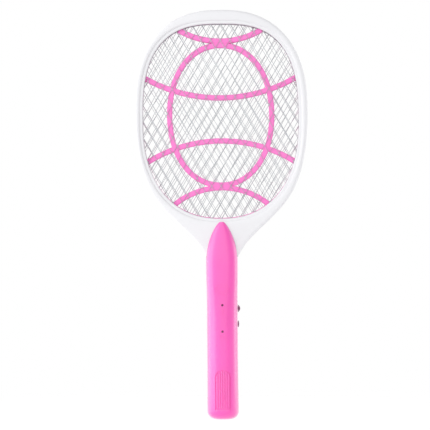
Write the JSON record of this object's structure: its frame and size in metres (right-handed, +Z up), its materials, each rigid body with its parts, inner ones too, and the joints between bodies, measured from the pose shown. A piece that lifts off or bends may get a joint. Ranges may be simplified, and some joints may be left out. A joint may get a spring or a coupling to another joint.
{
  "type": "electric fly swatter",
  "caption": "Racket-shaped electric insect swatter with layered metal grids, insulating spacers, a round grip, indicator lamps, slide switch, push button and a retractable charging plug.",
  "frame": {"origin": "on the handle's axis, 78 mm above the handle's bottom, where a hand closes on it", "axes": "+Z up the handle towards the head, -Y out of the front with the lamps, +X towards the switch and the button"},
  "size_m": [0.191, 0.0365, 0.45],
  "materials": {
    "white_plastic": "satin moulded",
    "pink_spacer": "satin moulded",
    "grid_metal": "expanded sheet",
    "screw_steel": "zinc plated",
    "pink_grip": "satin moulded",
    "lamp_red": "clear tinted",
    "pink_control": "satin moulded",
    "dark_plastic": "moulded",
    "board_laminate": "solder mask",
    "ferrite": "sintered",
    "copper_wire": "enamelled",
    "capacitor_coat": "dipped",
    "cell_sleeve": "shrink sleeve",
    "blade_brass": "nickel washed",
    "red_insulation": "PVC",
    "black_insulation": "PVC"
  },
  "bodies": {
    "racket": {"front_frame_shell": "white_plastic", "rear_frame_shell": "white_plastic", "front_spacer": "pink_spacer", "rear_spacer": "pink_spacer", "front_guard_grid": "grid_metal", "high_voltage_grid": "grid_metal", "rear_guard_grid": "grid_metal", "frame_screw_1": "screw_steel", "frame_screw_2": "screw_steel", "frame_screw_3": "screw_steel", "frame_screw_4": "screw_steel", "frame_screw_5": "screw_steel", "frame_screw_6": "screw_steel", "frame_screw_7": "screw_steel", "frame_screw_8": "screw_steel", "frame_screw_9": "screw_steel", "front_handle_shell": "pink_grip", "rear_handle_shell": "pink_grip", "handle_screw_1": "screw_steel", "handle_screw_2": "screw_steel", "handle_screw_3": "screw_steel", "charge_lamp": "lamp_red", "power_lamp": "lamp_red", "slide_switch_body": "dark_plastic", "button_switch_body": "dark_plastic", "circuit_board": "board_laminate", "transformer_core": "ferrite", "transformer_winding": "copper_wire", "high_voltage_capacitor": "capacitor_coat", "oscillator_transistor": "dark_plastic", "current_resistor": "capacitor_coat", "rectifier_diode_1": "dark_plastic", "rectifier_diode_2": "dark_plastic", "rectifier_diode_3": "dark_plastic", "rechargeable_cell_left": "cell_sleeve", "rechargeable_cell_right": "cell_sleeve", "cell_link": "screw_steel", "plug_contact_left": "blade_brass", "plug_contact_right": "blade_brass", "live_lead": "red_insulation", "ground_lead": "black_insulation", "ground_bridge": "copper_wire", "cell_lead_positive": "red_insulation", "cell_lead_negative": "black_insulation", "charge_lead_left": "black_insulation", "charge_lead_right": "red_insulation"},
    "power_switch": {"slide_switch_knob": "pink_control"},
    "zap_button": {"push_button": "pink_control"},
    "charging_plug": {"plug_carrier": "dark_plastic", "plug_blade_left": "blade_brass", "plug_blade_right": "blade_brass", "plug_thumb_slider": "dark_plastic"}
  },
  "joints": [
    {"name": "power_switch_slide", "type": "slide", "parent": "racket", "child": "power_switch", "axis": [0, 0, 1], "range_m": [0, 0.004]},
    {"name": "zap_button_press", "type": "slide", "parent": "racket", "child": "zap_button", "axis": [-1, 0, 0], "range_m": [0, 0.0012], "stiffness_N_per_m": 500, "springref_m": -0.0008},
    {"name": "charging_plug_slide", "type": "slide", "parent": "racket", "child": "charging_plug", "axis": [0, 0, -1], "range_m": [0, 0.017]}
  ]
}
